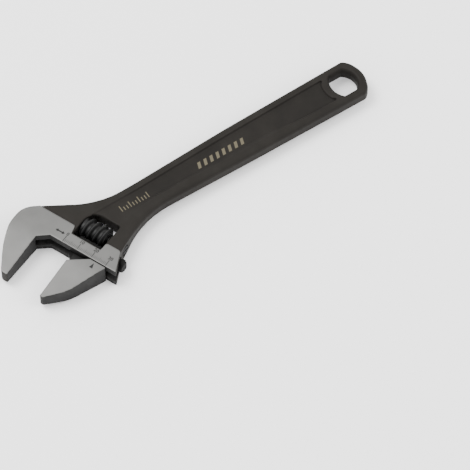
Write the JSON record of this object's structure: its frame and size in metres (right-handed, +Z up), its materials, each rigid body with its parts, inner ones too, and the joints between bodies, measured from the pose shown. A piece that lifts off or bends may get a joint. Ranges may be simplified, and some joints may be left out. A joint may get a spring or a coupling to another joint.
{
  "type": "adjustable wrench",
  "caption": "Adjustable wrench with a worm-driven sliding jaw, an angled head, a recessed flat handle and a hanging hole at its end.",
  "frame": {"origin": "centre of the bounding box in plan, on the surface that the wrench lies on", "axes": "+X along the handle from the jaws to the hanging hole, +Y towards the fixed jaw's side, +Z up out of the flat of the head"},
  "size_m": [0.2526, 0.0664, 0.0146],
  "materials": {
    "forged_body": "dark gun-metal finish on forged alloy steel, ground satin grey on the faces of the head",
    "sliding_jaw": "ground satin grey faces, dark forged sides",
    "worm_screw": "black oxide, oiled",
    "pin_steel": "dark turned steel",
    "spring_steel": "bright spring wire"
  },
  "bodies": {
    "body": {"body": "forged_body", "worm_pin": "pin_steel", "worm_spring": "spring_steel"},
    "jaw": {"moving_jaw": "sliding_jaw"},
    "worm": {"worm": "worm_screw"}
  },
  "joints": [
    {"name": "jaw_slide", "type": "slide", "parent": "body", "child": "jaw", "axis": [0.3827, -0.9239, 0], "range_m": [-0.0236, 0.0063]},
    {"name": "worm_spin", "type": "hinge", "parent": "body", "child": "worm", "pos_m": [-0.06609, -0.00088, 0.0073], "axis": [0.3827, -0.9239, 0], "range_deg": [-2080, 560]}
  ],
  "couplings": [
    {"joint": "worm_spin", "follows": "jaw_slide", "rad_per_m": 1532.5}
  ]
}
